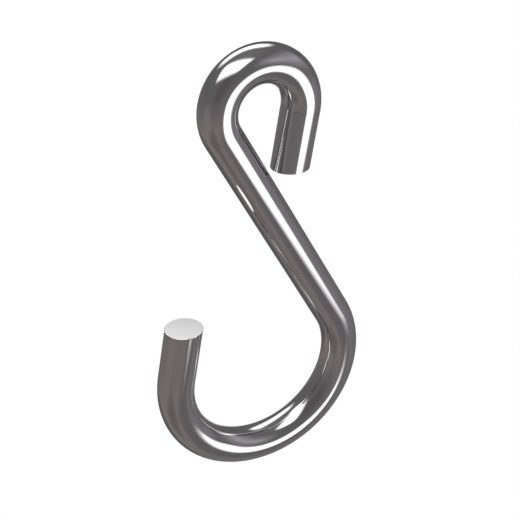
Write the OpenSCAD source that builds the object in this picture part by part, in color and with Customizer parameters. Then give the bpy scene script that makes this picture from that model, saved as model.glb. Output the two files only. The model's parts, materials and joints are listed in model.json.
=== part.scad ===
// S hook bent from one length of round bar, hanging upright in the XZ plane.
// The narrow upper eye hangs on something and the wide lower hook carries the load.
// The origin is the bearing point: the top of the inside of the upper bend.
// Both bend centres lie on the Z axis, which is the line of the load.

/* [Bar] */
// Diameter of the round bar
bar_d = 8; // [5:0.1:10]

/* [Bends] */
// Inside radius of the narrow upper bend
upper_inside_r = 5.13; // [4.8:0.01:7]
// Inside radius of the wide lower bend
lower_inside_r = 16.21; // [14:0.01:18]
// Height of the upper bend's centre above the lower one's
bend_spacing = 60.94; // [58:0.01:80]

/* [Straight ends] */
// Length of the upper straight end along its axis
upper_end_len = 12.4; // [3:0.1:13]
// Lean of the upper straight end from the load line, inwards to the shank
upper_end_lean = 10; // [0:0.5:12]
// Length of the lower straight end along its axis
lower_end_len = 12.3; // [3:0.1:25]
// Lean of the lower straight end from the load line, inwards to the shank
lower_end_lean = 10; // [0:0.5:20]

/* [Hidden] */
$fn = 96;

bar_r = bar_d / 2;
upper_r = upper_inside_r + bar_r;
lower_r = lower_inside_r + bar_r;

// The shank is the line that touches both bends on opposite sides.
shank_lean = asin((upper_r + lower_r) / bend_spacing);
shank_len = bend_spacing * cos(shank_lean);

// A block under the XY plane, wide enough to cut a bend or a straight end.
module below(reach) {
    translate([-reach, -bar_d, -reach])
        cube([2 * reach, 2 * bar_d, reach]);
}

// A closed ring of the bar about the Y axis.
module ring(centre_r) {
    rotate([90, 0, 0])
        rotate_extrude()
            translate([centre_r, 0])
                circle(r = bar_r);
}

// A straight end that runs down from the origin. Its cut is level when the end leans as it should.
module straight_end(end_len, end_lean) {
    difference() {
        translate([0, 0, -end_len - bar_d])
            cylinder(r = bar_r, h = end_len + bar_d);
        translate([0, 0, -end_len])
            rotate([0, -end_lean, 0])
                below(4 * bar_d);
    }
}

// A bend about the origin with its straight end. The shank meets it on the -X side and runs down from there.
// The bend is a ring without the wedge that lies below both of its joints.
module hook_end(centre_r, end_len, end_lean) {
    turn = shank_lean + end_lean;
    reach = 2 * (centre_r + bar_d);
    difference() {
        ring(centre_r);
        intersection() {
            below(reach);
            rotate([0, turn, 0])
                below(reach);
        }
    }
    rotate([0, turn, 0])
        translate([centre_r, 0, 0])
            straight_end(end_len, end_lean);
}

module shank() {
    cylinder(r = bar_r, h = shank_len);
}

// The pieces are placed in the shank's own leaning frame about the upper bend's centre, so that their faces meet.
module hook() {
    color("dimgray")
        translate([0, 0, -upper_inside_r])
            rotate([0, -shank_lean, 0]) {
                hook_end(upper_r, upper_end_len, upper_end_lean);
                translate([-upper_r, 0, -shank_len])
                    shank();
                translate([-upper_r - lower_r, 0, -shank_len])
                    rotate([0, 180, 0])
                        hook_end(lower_r, lower_end_len, lower_end_lean);
            }
}

hook();
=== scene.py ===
# S hook bent from one polished steel bar, framed and lit as in the photograph
import json
import math

import bmesh
import bpy
from mathutils import Matrix, Vector


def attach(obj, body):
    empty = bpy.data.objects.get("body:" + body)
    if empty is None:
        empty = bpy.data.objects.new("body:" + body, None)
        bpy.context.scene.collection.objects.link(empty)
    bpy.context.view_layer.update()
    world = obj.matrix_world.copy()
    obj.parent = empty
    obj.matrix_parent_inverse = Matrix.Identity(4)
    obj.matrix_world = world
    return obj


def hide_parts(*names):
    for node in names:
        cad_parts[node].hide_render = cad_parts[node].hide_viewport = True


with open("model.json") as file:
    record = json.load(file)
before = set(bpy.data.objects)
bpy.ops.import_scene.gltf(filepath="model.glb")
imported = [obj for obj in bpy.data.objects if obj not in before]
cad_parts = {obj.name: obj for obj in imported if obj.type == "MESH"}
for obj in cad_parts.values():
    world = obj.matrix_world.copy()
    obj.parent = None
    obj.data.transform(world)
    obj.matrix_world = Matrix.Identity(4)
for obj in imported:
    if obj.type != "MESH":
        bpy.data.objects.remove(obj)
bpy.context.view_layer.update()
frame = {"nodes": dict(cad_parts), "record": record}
mounts = {m["name"]: m for m in frame["record"]["mounts"]}
scene = bpy.context.scene
scene.view_settings.view_transform = "Standard"
print("frame loaded:", sorted(frame["nodes"]))

mmPerMetre = 1000
noiseSpan = (0.3, 0.7)  # holds most of a noise texture's values


def linearColour(hexText):
    parts = [int(hexText[i:i + 2], 16) / 255 for i in (1, 3, 5)]
    return [p / 12.92 if p <= 0.04045 else ((p + 0.055) / 1.055) ** 2.4 for p in parts] + [1.0]


def addNode(tree, kind, settings=None, links=None):
    node = tree.nodes.new(kind)
    for name, value in (settings or {}).items():
        if isinstance(name, int) or name in node.inputs:
            node.inputs[name].default_value = value
        else:
            setattr(node, name, value)
    for name, source in (links or {}).items():
        tree.links.new(source, node.inputs[name])
    return node


def emptyMaterial(name):
    material = bpy.data.materials.new(name)
    material.use_nodes = True
    material.node_tree.nodes.clear()
    return material, material.node_tree


def heading(azimuth, elevation):
    # azimuth 0 is on the -Y side and 90 on the +X side, as the views count it
    a, e = math.radians(azimuth), math.radians(elevation)
    return Vector((math.sin(a) * math.cos(e), -math.cos(a) * math.cos(e), math.sin(e)))


def edgesOf(geom):
    return [g for g in geom if isinstance(g, bmesh.types.BMEdge)]


def vertsOf(geom):
    return [g for g in geom if isinstance(g, bmesh.types.BMVert)]


def meshObject(name, bm, *materials):
    mesh = bpy.data.meshes.new(name)
    bm.to_mesh(mesh)
    bm.free()
    for material in materials:
        mesh.materials.append(material)
    made = bpy.data.objects.new(name, mesh)
    scene.collection.objects.link(made)
    return made


# Camera, from a fit of the bar's outline to the photograph
cameraView = {
    "aim": (0, 0, -0.0356),  # halfway between the two bend centres
    "azimuth": -28.0,
    "elevation": 30.2,
    "distance": 0.2321,
    "nudge": (0.0000144, -0.0028525),  # sideways and upwards, to frame it as the photograph does
    "lens": 77.924,  # mm
    "sensor": 36,  # mm
    "nearest": 0.01,  # m
}
aim = Vector(cameraView["aim"])
back = heading(cameraView["azimuth"], cameraView["elevation"])
right = Vector((0, 0, 1)).cross(back).normalized()
upward = back.cross(right)
lens = bpy.data.cameras.new("photoCamera")
lens.lens = cameraView["lens"]
lens.sensor_width = cameraView["sensor"]
lens.clip_start = cameraView["nearest"]
camera = bpy.data.objects.new("photoCamera", lens)
camera.location = aim + back * cameraView["distance"]
camera.location += right * cameraView["nudge"][0] + upward * cameraView["nudge"][1]
camera.rotation_mode = "QUATERNION"
camera.rotation_quaternion = (-back).to_track_quat("-Z", "Y")
scene.collection.objects.link(camera)
scene.camera = camera
print("camera set")


# Bar, bent along the CAD route: straight end, narrow eye, shank, wide bowl, straight end
hookBar = {
    # in millimetres and degrees
    "around": 240,  # facets round the bar, fine enough for clean mirror images
    "eyeRings": 110,
    "bowlRings": 160,
    "upperEndLength": 12.4,  # along its axis
    "upperEndLean": 10.0,  # from the load line, in towards the shank
    "spare": 3.0,  # left on each end until it is cut level
    "brokenEdge": 0.08,  # rim of the cut ends
    "brokenSteps": 3,
    "sharpAngle": 8.0,  # edges that turn more than this stay crisp
}


def growBar(bm, ring, length, travel=None, centre=None, axis=None, angle=0, rings=1):
    # carries the ring on along a straight or round a bend, and notes how far along the bar each new ring is
    along = bm.verts.layers.float_vector["barPlace"]
    before = len(bm.verts)
    reached = ring[0].verts[0][along].z
    if travel is not None:
        geom = bmesh.ops.extrude_edge_only(bm, edges=ring)["geom"]
        bmesh.ops.translate(bm, verts=vertsOf(geom), vec=travel)
    else:
        geom = bmesh.ops.spin(bm, geom=ring, cent=centre, axis=axis, angle=angle, steps=rings,
                              use_merge=False)["geom_last"]
    fresh = list(bm.verts)[before:]
    perRing = len(fresh) // rings
    for i, v in enumerate(fresh):
        place = v[along].copy()
        place.z = reached + length * (i // perRing + 1) / rings
        v[along] = place
    last = set(fresh[-perRing:])
    return [e for e in edgesOf(geom) if e.verts[0] in last and e.verts[1] in last]


def cutLevel(bm, faces, height, facing):
    # saws a straight end off level and closes it in the second material
    edges = {e for f in faces for e in f.edges}
    verts = {v for f in faces for v in f.verts}
    cut = bmesh.ops.bisect_plane(bm, geom=[*verts, *edges, *faces], plane_co=(0, 0, height),
                                 plane_no=(0, 0, facing), clear_outer=True)
    cap = bmesh.ops.edgeloop_fill(bm, edges=edgesOf(cut["geom_cut"]), mat_nr=1)["faces"]
    return list(cap[0].edges)


def bendCentre(seat):
    return Vector(seat["pos_m"]) * mmPerMetre + Vector(seat["axis"]) * seat["dims"]["r_mm"]


def bendHook(bar):
    # built in millimetres and scaled to metres at the end
    barR = mounts["lower_end"]["dims"]["r_mm"]
    eyeSeat, bowlSeat = mounts["upper_seat"], mounts["lower_seat"]
    eye, bowl = bendCentre(eyeSeat), bendCentre(bowlSeat)
    eyeR, bowlR = eyeSeat["dims"]["r_mm"] + barR, bowlSeat["dims"]["r_mm"] + barR
    # the shank touches both bends on opposite sides
    shankLean = math.asin((eyeR + bowlR) / (eye.z - bowl.z))
    shankLength = (eye.z - bowl.z) * math.cos(shankLean)
    shankWay = Vector((math.sin(shankLean), 0, -math.cos(shankLean)))
    upperLean = math.radians(bar["upperEndLean"])
    upperWay = Vector((math.sin(upperLean), 0, math.cos(upperLean)))
    lowerWay = Vector(mounts["lower_end"]["axis"])
    lowerLean = math.atan2(lowerWay.x, lowerWay.z)
    lowerLength = mounts["lower_end"]["dims"]["length_mm"]

    bm = bmesh.new()
    along = bm.verts.layers.float_vector.new("barPlace")
    eyeStart = eye + eyeR * Vector((math.cos(upperLean), 0, -math.sin(upperLean)))
    upperRun = bar["upperEndLength"] + bar["spare"]
    start = Matrix.Translation(eyeStart - upperWay * upperRun) @ Matrix.Rotation(upperLean, 4, "Y")
    bmesh.ops.create_circle(bm, segments=bar["around"], radius=barR, matrix=start)
    for v in bm.verts:
        v[along] = start.inverted() @ v.co
    ring = growBar(bm, list(bm.edges), upperRun, travel=upperWay * upperRun)
    upperFaces = list(bm.faces)
    turn = math.pi + shankLean + upperLean
    ring = growBar(bm, ring, eyeR * turn, centre=eye, axis=(0, -1, 0), angle=turn, rings=bar["eyeRings"])
    ring = growBar(bm, ring, shankLength, travel=shankWay * shankLength)
    turn = math.pi + shankLean + lowerLean
    ring = growBar(bm, ring, bowlR * turn, centre=bowl, axis=(0, 1, 0), angle=turn, rings=bar["bowlRings"])
    bowlEnd = sum((e.verts[0].co for e in ring), Vector()) / len(ring)
    before = set(bm.faces)
    lowerRun = lowerLength + bar["spare"]
    growBar(bm, ring, lowerRun, travel=lowerWay * lowerRun)
    lowerFaces = [f for f in bm.faces if f not in before]

    rims = cutLevel(bm, upperFaces, (eyeStart - upperWay * bar["upperEndLength"]).z, -1)
    rims += cutLevel(bm, lowerFaces, (bowlEnd + lowerWay * lowerLength).z, 1)
    bmesh.ops.recalc_face_normals(bm, faces=bm.faces)
    bmesh.ops.bevel(bm, geom=rims, offset=bar["brokenEdge"], offset_type="OFFSET",
                    segments=bar["brokenSteps"], profile=0.5, affect="EDGES", material=-1)
    for f in bm.faces:
        f.smooth = True
    for e in bm.edges:
        e.smooth = e.calc_face_angle(0) < math.radians(bar["sharpAngle"])
    bmesh.ops.scale(bm, vec=[1 / mmPerMetre] * 3, verts=bm.verts)
    print("bar bent:", len(bm.faces), "faces")
    return bm


def noisyGloss(tree, noise, roughness):
    return addNode(tree, "ShaderNodeMapRange",
                   {"From Min": noiseSpan[0], "From Max": noiseSpan[1],
                    "To Min": roughness[0], "To Max": roughness[1]},
                   {"Value": noise.outputs["Fac"]})


def polishedSteel():
    # Stainless steel bar, mirror polished: a clear mirror, with faint lines along the bar
    look = {
        "bright": "#d3d2d2",
        "dull": "#cfcece",
        "edgeTint": 0.85,  # keeps the rims as dark as polished steel's are
        "roughness": (0.02, 0.045),
        "lineWidth": 0.5,  # mm, of the polishing lines, round the bar
        "lineLength": 30.0,  # mm, along the bar
        "lineDepth": 0.0000002,  # m
        # a faint darker ring where the upper bend starts: painted shade, standing in for the dark line the
        # mirror image shows where the straight end turns into the bend
        "seamShadeAt": hookBar["upperEndLength"] + hookBar["spare"],  # mm along the bar
        "seamShadeWidth": 0.45,  # mm
        "seamShadeTone": "#bebdbd",
    }
    material, tree = emptyMaterial("polishedStainlessSteel")
    place = addNode(tree, "ShaderNodeAttribute", {"attribute_name": "barPlace"})
    stretch = addNode(tree, "ShaderNodeMapping", {"Scale": (1, 1, look["lineWidth"] / look["lineLength"])},
                      {"Vector": place.outputs["Vector"]})
    lines = addNode(tree, "ShaderNodeTexNoise", {"Scale": 1 / look["lineWidth"], "Detail": 3.0},
                    {"Vector": stretch.outputs["Vector"]})
    gloss = noisyGloss(tree, lines, look["roughness"])
    tone = addNode(tree, "ShaderNodeMix", {"data_type": "RGBA", 6: linearColour(look["bright"]),
                                           7: linearColour(look["dull"])}, {0: lines.outputs["Fac"]})
    parts = addNode(tree, "ShaderNodeSeparateXYZ", None, {0: place.outputs["Vector"]})
    # painted shade: a darker ring in the steel's colour where the upper bend starts
    off = addNode(tree, "ShaderNodeMath", {"operation": "SUBTRACT", 1: look["seamShadeAt"]},
                  {0: parts.outputs["Z"]})
    away = addNode(tree, "ShaderNodeMath", {"operation": "ABSOLUTE"}, {0: off.outputs[0]})
    seamShadeMask = addNode(tree, "ShaderNodeMapRange",
                   {"interpolation_type": "SMOOTHSTEP", "From Min": 0.0, "From Max": look["seamShadeWidth"] / 2,
                    "To Min": 1.0, "To Max": 0.0}, {"Value": away.outputs[0]})
    seamShaded = addNode(tree, "ShaderNodeMix", {"data_type": "RGBA", 7: linearColour(look["seamShadeTone"])},
                     {0: seamShadeMask.outputs["Result"], 6: tone.outputs[2]})
    relief = addNode(tree, "ShaderNodeBump", {"Strength": 1.0, "Distance": look["lineDepth"]},
                     {"Height": lines.outputs["Fac"]})
    steel = addNode(tree, "ShaderNodeBsdfPrincipled",
                    {"Metallic": 1.0, "Specular Tint": [look["edgeTint"]] * 3 + [1.0]},
                    {"Base Color": seamShaded.outputs[2], "Roughness": gloss.outputs["Result"],
                     "Normal": relief.outputs["Normal"]})
    addNode(tree, "ShaderNodeOutputMaterial", None, {"Surface": steel.outputs["BSDF"]})
    return material


def groundEnd():
    # The same steel where the bar was cut and ground flat: bright, with a slightly softer shine
    look = {
        "colour": "#d1d0d0",
        "roughness": (0.09, 0.11),
        "gritWidth": 0.15,  # mm
        "gritStretch": 0.06,  # its width over its length, which lies along Y
    }
    material, tree = emptyMaterial("groundSteelEnd")
    place = addNode(tree, "ShaderNodeTexCoord")
    stretch = addNode(tree, "ShaderNodeMapping", {"Scale": (1, look["gritStretch"], 1)},
                      {"Vector": place.outputs["Object"]})
    grit = addNode(tree, "ShaderNodeTexNoise", {"Scale": mmPerMetre / look["gritWidth"], "Detail": 2.0},
                   {"Vector": stretch.outputs["Vector"]})
    gloss = noisyGloss(tree, grit, look["roughness"])
    steel = addNode(tree, "ShaderNodeBsdfPrincipled",
                    {"Metallic": 1.0, "Base Color": linearColour(look["colour"])},
                    {"Roughness": gloss.outputs["Result"]})
    addNode(tree, "ShaderNodeOutputMaterial", None, {"Surface": steel.outputs["BSDF"]})
    return material


hook = meshObject("hook_bar", bendHook(hookBar), polishedSteel(), groundEnd())
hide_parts("hook")
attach(hook, "root")
print("hook dressed")


# Studio: grey paper and air all round, white paper where the photograph looks, and softboxes out of sight
softPanels = {
    # in degrees and metres, with level in units of the photograph's white
    "rightSoftbox": {
        "azimuth": 28.0, "elevation": -17.8, "turn": 12.3, "swivel": 6.7, "tip": 3.9,
        "half": (0.526, 0.280), "corner": 0.106, "fade": 0.557, "colour": "#ffffff", "level": 3.4,
    },
    "overheadSoftbox": {
        "azimuth": -54.5, "elevation": 61.6, "turn": 0.5, "swivel": -6.0, "tip": 4.3,
        "half": (0.933, 0.365), "corner": 0.123, "fade": 0.647, "colour": "#ffffff", "level": 3.4,
    },
    "backSoftbox": {
        "azimuth": 167.0, "elevation": 44.1, "turn": -17.4, "swivel": 2.5, "tip": 11.7,
        "half": (0.734, 0.263), "corner": 0.207, "fade": 0.721, "colour": "#ffffff", "level": 3.4,
    },
    "blueScreen": {
        "azimuth": 58.4, "elevation": 25.7, "turn": 1.4, "swivel": 0.0, "tip": 0.0,
        "half": (0.772, 0.080), "corner": 0.072, "fade": 1.555, "colour": "#d7d4e0", "level": 1.0,
    },
}
panelReach = 1.6  # m from the hook to each panel
# the studio's grey by how high one looks, in degrees, warm below and neutral above: light in the air, and
# painted light and shade on the floor
studioLightTones = {-90: "#878081", -70: "#918a8c", -35: "#8c8384", -10: "#787475",
             12: "#6e6e6f", 60: "#747273", 90: "#7f7f7e"}
# softly darker and lighter places in it, each spread over so many degrees: light and shade in the air,
# painted shade and painted light on the floor
studioLightSpots = [
    {"azimuth": -61.2, "elevation": -49.3, "spread": 27.1, "colour": "#746d6d"},
    {"azimuth": -169.7, "elevation": -52.0, "spread": 30.5, "colour": "#6a6667"},
    {"azimuth": 19.5, "elevation": -49.0, "spread": 34.8, "colour": "#736e70"},
    {"azimuth": -39.2, "elevation": 23.0, "spread": 31.9, "colour": "#646263"},
    {"azimuth": -85.7, "elevation": -19.3, "spread": 28.6, "colour": "#8a8385"},
    {"azimuth": -25.4, "elevation": -57.8, "spread": 13.6, "colour": "#888183"},
    {"azimuth": 72.6, "elevation": -26.6, "spread": 30.1, "colour": "#95949a"},
    {"azimuth": 89.6, "elevation": -42.5, "spread": 45.5, "colour": "#7e7c7d"},
]


# tones by direction: light where the air uses them, painted light and shade where the floor uses them
def studioLightTone(tree, way):
    parts = addNode(tree, "ShaderNodeSeparateXYZ", None, {0: way})
    height = addNode(tree, "ShaderNodeMapRange", {"From Min": -1.0, "From Max": 1.0},
                     {"Value": parts.outputs["Z"]})
    ramp = addNode(tree, "ShaderNodeValToRGB", None, {"Fac": height.outputs["Result"]})
    stops = ramp.color_ramp.elements
    while len(stops) < len(studioLightTones):
        stops.new(0.5)
    for stop, (degrees, colour) in zip(stops, studioLightTones.items()):
        stop.position = (math.sin(math.radians(degrees)) + 1) / 2
        stop.color = linearColour(colour)
    tone = ramp.outputs["Color"]
    for spot in studioLightSpots:
        middle = heading(spot["azimuth"], spot["elevation"])
        towards = addNode(tree, "ShaderNodeVectorMath", {"operation": "DOT_PRODUCT", 1: middle}, {0: way})
        rim = math.cos(math.radians(spot["spread"]))
        share = addNode(tree, "ShaderNodeMapRange", {"interpolation_type": "SMOOTHSTEP", "From Min": rim},
                        {"Value": towards.outputs["Value"]})
        mixed = addNode(tree, "ShaderNodeMix", {"data_type": "RGBA", 7: linearColour(spot["colour"])},
                        {0: share.outputs["Result"], 6: tone})
        tone = mixed.outputs[2]
    return tone


def paperShader(tree, settings, links=None):
    # matt paper that the camera, also by way of the metal, sees at its own plain level
    path = addNode(tree, "ShaderNodeLightPath")
    mirrored = addNode(tree, "ShaderNodeMath", {"operation": "MAXIMUM"},
                       {0: path.outputs["Is Camera Ray"], 1: path.outputs["Is Glossy Ray"]})
    shown = addNode(tree, "ShaderNodeMath", {"operation": "MAXIMUM"},
                    {0: mirrored.outputs[0], 1: path.outputs["Is Transmission Ray"]})
    matt = addNode(tree, "ShaderNodeBsdfDiffuse", settings, links)
    plain = addNode(tree, "ShaderNodeEmission", {**settings, "Strength": 1.0}, links)
    both = addNode(tree, "ShaderNodeMixShader", None,
                   {0: shown.outputs[0], 1: matt.outputs[0], 2: plain.outputs[0]})
    return both.outputs[0]


def fadedGlow(name, look):
    # a glowing rounded rectangle that fades out across its edge
    material, tree = emptyMaterial(name)
    place = addNode(tree, "ShaderNodeTexCoord")
    folded = addNode(tree, "ShaderNodeVectorMath", {"operation": "ABSOLUTE"}, {0: place.outputs["Object"]})
    inner = (look["half"][0] - look["corner"], look["half"][1] - look["corner"], 0)
    past = addNode(tree, "ShaderNodeVectorMath", {"operation": "SUBTRACT", 1: inner}, {0: folded.outputs[0]})
    beyond = addNode(tree, "ShaderNodeVectorMath", {"operation": "MAXIMUM", 1: (0, 0, 0)},
                     {0: past.outputs[0]})
    outside = addNode(tree, "ShaderNodeVectorMath", {"operation": "LENGTH"}, {0: beyond.outputs[0]})
    parts = addNode(tree, "ShaderNodeSeparateXYZ", None, {0: past.outputs[0]})
    nearer = addNode(tree, "ShaderNodeMath", {"operation": "MAXIMUM"},
                     {0: parts.outputs[0], 1: parts.outputs[1]})
    inside = addNode(tree, "ShaderNodeMath", {"operation": "MINIMUM", 1: 0.0}, {0: nearer.outputs[0]})
    edge = addNode(tree, "ShaderNodeMath", {"operation": "ADD"},
                   {0: outside.outputs["Value"], 1: inside.outputs[0]})
    fade = addNode(tree, "ShaderNodeMapRange",
                   {"interpolation_type": "SMOOTHSTEP", "From Min": look["corner"] - look["fade"] / 2,
                    "From Max": look["corner"] + look["fade"] / 2, "To Min": 1.0, "To Max": 0.0},
                   {"Value": edge.outputs[0]})
    clear = addNode(tree, "ShaderNodeBsdfTransparent")
    glow = addNode(tree, "ShaderNodeEmission",
                   {"Color": linearColour(look["colour"]), "Strength": look["level"]})
    both = addNode(tree, "ShaderNodeMixShader", None,
                   {0: fade.outputs["Result"], 1: clear.outputs[0], 2: glow.outputs[0]})
    addNode(tree, "ShaderNodeOutputMaterial", None, {"Surface": both.outputs[0]})
    return material


def softPanel(name, look):
    bm = bmesh.new()
    bmesh.ops.create_grid(bm, x_segments=1, y_segments=1, size=1.0)
    spread = [h + look["fade"] / 2 for h in look["half"]]
    bmesh.ops.scale(bm, vec=(spread[0], spread[1], 1), verts=bm.verts)
    panel = meshObject(name, bm, fadedGlow(name, look))
    panel.visible_camera = False
    panel.visible_shadow = False
    # rolled by its turn about the line from the hook, then swivelled and tipped off that line
    outward = heading(look["azimuth"], look["elevation"])
    level = Vector((0, 0, 1)).cross(outward).normalized()
    rising = outward.cross(level)
    turn, swivel, tip = (math.radians(look[key]) for key in ("turn", "swivel", "tip"))
    across = level * math.cos(turn) + rising * math.sin(turn)
    uphill = rising * math.cos(turn) - level * math.sin(turn)
    facing = (outward + across * math.tan(swivel) + uphill * math.tan(tip)).normalized()
    across = (across - facing * across.dot(facing)).normalized()
    turned = Matrix((across, facing.cross(across), facing)).transposed()
    panel.matrix_world = Matrix.Translation(aim + outward * panelReach) @ turned.to_4x4()


for name, look in softPanels.items():
    softPanel(name, look)

# Grey paper floor, far enough below the hook that the hook's soft shadow spreads out to nothing on it
floorLook = {"drop": 4.0, "size": 60.0}  # m
floorHeight = aim.z - floorLook["drop"]
material, tree = emptyMaterial("greyPaperPaintedLight")
place = addNode(tree, "ShaderNodeTexCoord")
below = addNode(tree, "ShaderNodeVectorMath", {"operation": "ADD", 1: (0, 0, -floorLook["drop"])},
                {0: place.outputs["Object"]})
way = addNode(tree, "ShaderNodeVectorMath", {"operation": "NORMALIZE"}, {0: below.outputs[0]})
# the floor's colour is painted light and shade: the studio's tones by direction from the hook, in lighter and
# darker bands and places for the steel to reflect
greyShade = paperShader(tree, {}, {"Color": studioLightTone(tree, way.outputs[0])})
addNode(tree, "ShaderNodeOutputMaterial", None, {"Surface": greyShade})
bm = bmesh.new()
bmesh.ops.create_grid(bm, x_segments=1, y_segments=1, size=floorLook["size"] / 2)
floor = meshObject("floor", bm, material)
floor.location = (0, 0, floorHeight)

# White paper on the floor, as far as the photograph shows it, with a soft border
whitePaper = {
    "colour": "#ffffff",
    "margin": 1.01,  # times what the photograph shows
    "border": 1.07,  # times the sheet within it
    "lift": 0.003,  # m above the floor
}
bm = bmesh.new()
whiteness = bm.verts.layers.float.new("whiteness")
half = lens.sensor_width / lens.lens / 2 * whitePaper["margin"]
corners = []
for side, rise in ((-1, -1), (1, -1), (1, 1), (-1, 1)):
    sight = right * side * half + upward * rise * half - back
    corners.append(camera.location + sight * (floorHeight + whitePaper["lift"] - camera.location.z) / sight.z)
sheet = bm.faces.new([bm.verts.new(c) for c in corners])
for v in bm.verts:
    v[whiteness] = 1.0
border = vertsOf(bmesh.ops.extrude_edge_only(bm, edges=list(sheet.edges))["geom"])
middle = sum(corners, Vector()) / len(corners)
bmesh.ops.scale(bm, vec=[whitePaper["border"]] * 3, space=Matrix.Translation(-middle), verts=border)
for v in border:
    v[whiteness] = 0.0
material, tree = emptyMaterial("whitePaper")
share = addNode(tree, "ShaderNodeAttribute", {"attribute_name": "whiteness"})
soft = addNode(tree, "ShaderNodeMapRange", {"interpolation_type": "SMOOTHSTEP"},
               {"Value": share.outputs["Fac"]})
whiteShade = paperShader(tree, {"Color": linearColour(whitePaper["colour"])})
clear = addNode(tree, "ShaderNodeBsdfTransparent")
both = addNode(tree, "ShaderNodeMixShader", None,
               {0: soft.outputs["Result"], 1: clear.outputs[0], 2: whiteShade})
addNode(tree, "ShaderNodeOutputMaterial", None, {"Surface": both.outputs[0]})
sheet = meshObject("whitePaper", bm, material)

# Air, in the same tones as the floor
world = bpy.data.worlds.new("studioAir")
world.use_nodes = True
world.node_tree.nodes.clear()
scene.world = world
way = addNode(world.node_tree, "ShaderNodeTexCoord")
tone = studioLightTone(world.node_tree, way.outputs["Generated"])
sky = addNode(world.node_tree, "ShaderNodeBackground", {"Strength": 1.0}, {"Color": tone})
addNode(world.node_tree, "ShaderNodeOutputWorld", None, {"Surface": sky.outputs[0]})
print("studio set")
